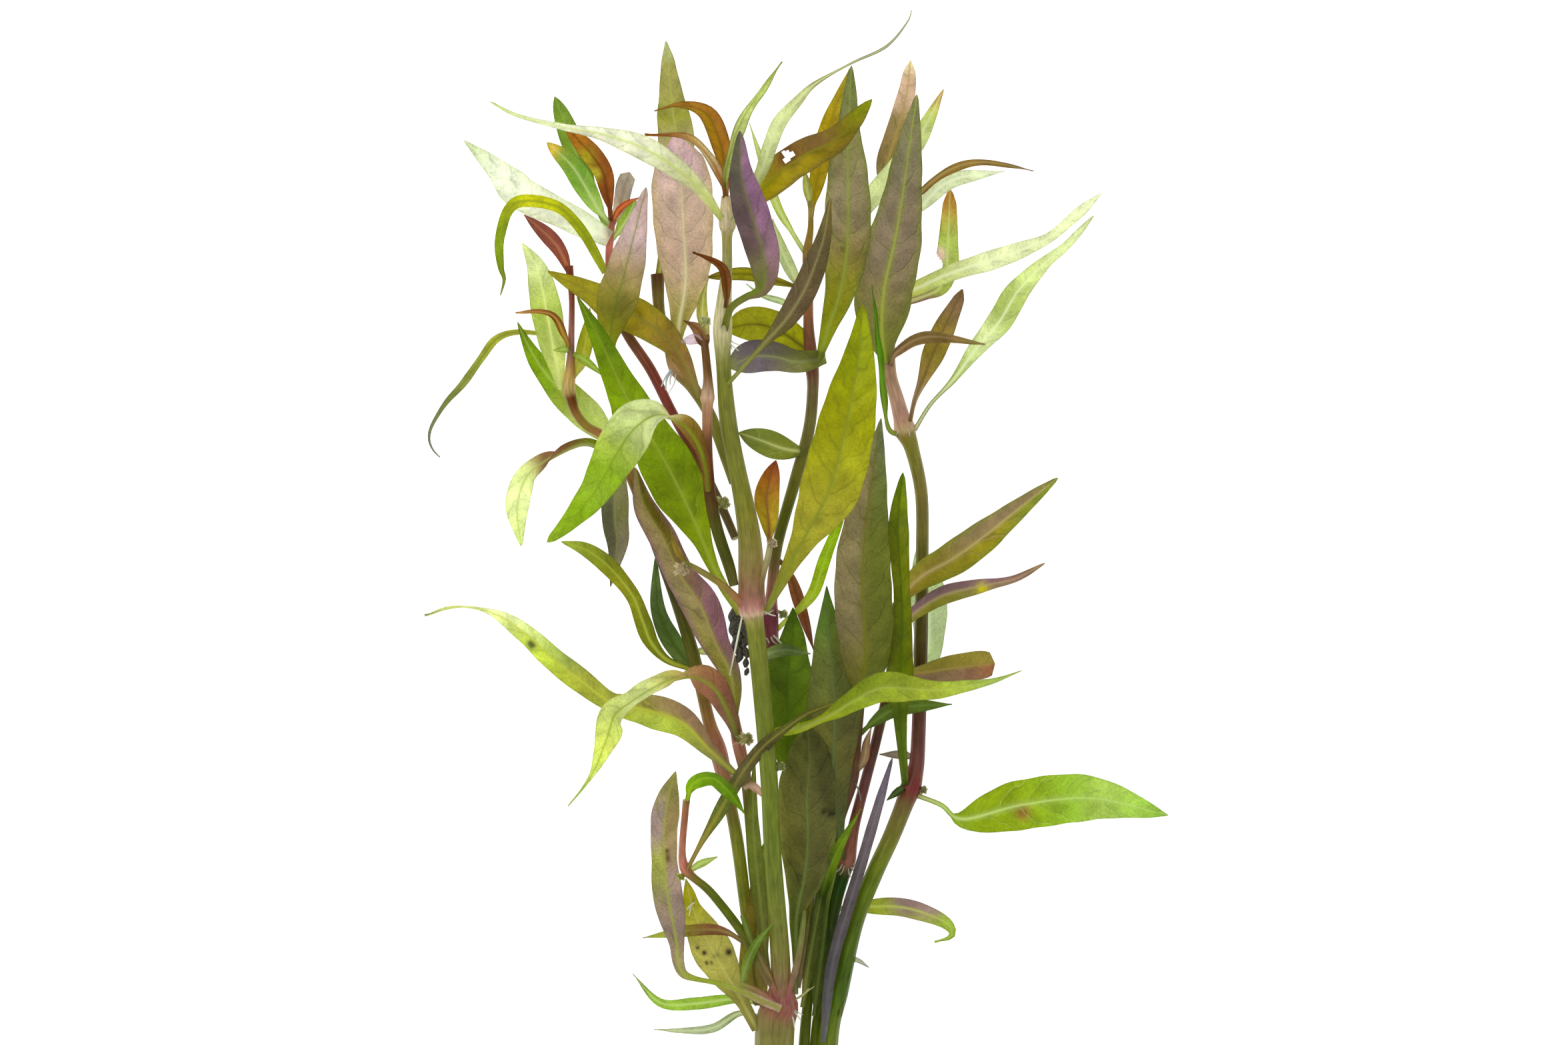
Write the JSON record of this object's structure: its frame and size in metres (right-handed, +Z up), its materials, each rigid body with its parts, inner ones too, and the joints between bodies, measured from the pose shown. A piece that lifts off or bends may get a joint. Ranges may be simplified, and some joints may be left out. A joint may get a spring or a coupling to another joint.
{
  "type": "alternanthera reineckii",
  "caption": "Loose bunch of leafy aquarium plant stems lying flat: tapered stems with swollen nodes and lance-shaped leaves that arch, cross and fan out to one end.",
  "frame": {"origin": "middle of the bunch in plan, on the surface that it lies on", "axes": "+Y from the cut stem ends to the leaf tips, +X across the fan of leaves, +Z up off the surface"},
  "size_m": [0.1685, 0.2614, 0.0538],
  "materials": {
    "lime": "thin soft leaf, faint sheen",
    "green": "thin soft leaf, faint sheen",
    "olive": "thin soft leaf, faint sheen",
    "mauve": "thin soft leaf, faint sheen",
    "pink": "thin soft leaf, faint sheen",
    "purple": "thin soft leaf, faint sheen",
    "pale": "thin soft leaf, faint sheen",
    "brown": "thin soft leaf, faint sheen",
    "stem green": "smooth, slightly glossy fresh stem",
    "stem red": "smooth, slightly glossy fresh stem"
  },
  "bodies": {
    "root": {"leaf_centre_mauve_wide": "mauve", "leaf_far_left_curl": "olive", "leaf_far_left_long": "lime", "leaf_front_brown_slant": "mauve", "leaf_front_dark_olive": "olive", "leaf_front_lime": "lime", "leaf_left_arch_front": "lime", "leaf_left_arch_pale": "pale", "leaf_left_big_green": "green", "leaf_left_hanging_grey": "mauve", "leaf_left_mauve_slant": "mauve", "leaf_left_mauve_upright": "mauve", "leaf_left_olive_bend": "olive", "leaf_left_olive_slant": "olive", "leaf_low_left_mauve": "mauve", "leaf_low_left_yellow": "olive", "leaf_low_right_strap": "mauve", "leaf_low_sheath": "olive", "leaf_middle_dark_green": "green", "leaf_middle_grey_olive": "olive", "leaf_middle_grey_purple": "purple", "leaf_middle_lime_cross": "lime", "leaf_middle_olive_strap": "olive", "leaf_middle_yellow_olive": "olive", "leaf_right_brown_behind": "brown", "leaf_right_brown_small": "brown", "leaf_right_dark_green": "green", "leaf_right_grey_tall": "mauve", "leaf_right_low_green": "green", "leaf_right_mauve_long": "mauve", "leaf_right_olive_long": "olive", "leaf_right_orange_tip": "green", "leaf_right_pale_back": "pale", "leaf_right_pale_behind": "pale", "leaf_right_pale_lower": "pale", "leaf_right_pale_upper": "pale", "leaf_top_brown_arch": "brown", "leaf_top_left_arch": "lime", "leaf_top_left_pale": "pale", "leaf_top_left_strap": "pale", "leaf_top_olive_slant": "olive", "leaf_top_pale_thread": "pale", "leaf_top_pink": "pink", "leaf_top_purple_cup": "purple", "leaf_top_right_tall": "mauve", "leaf_top_tall_behind": "olive", "leaf_upper_left_arch": "pale", "leaf_upper_left_green": "green", "leaf_upper_left_pale": "pale", "stem_back_left": "stem green", "stem_behind_main": "stem green", "stem_centre": "stem red", "stem_inner": "stem green", "stem_inner_right": "stem red", "stem_left": "stem red", "stem_lower_branch": "stem green", "stem_main": "stem green", "stem_right": "stem green", "stem_top_left": "stem red", "stem_upper_branch": "stem green"}
  },
  "joints": []
}
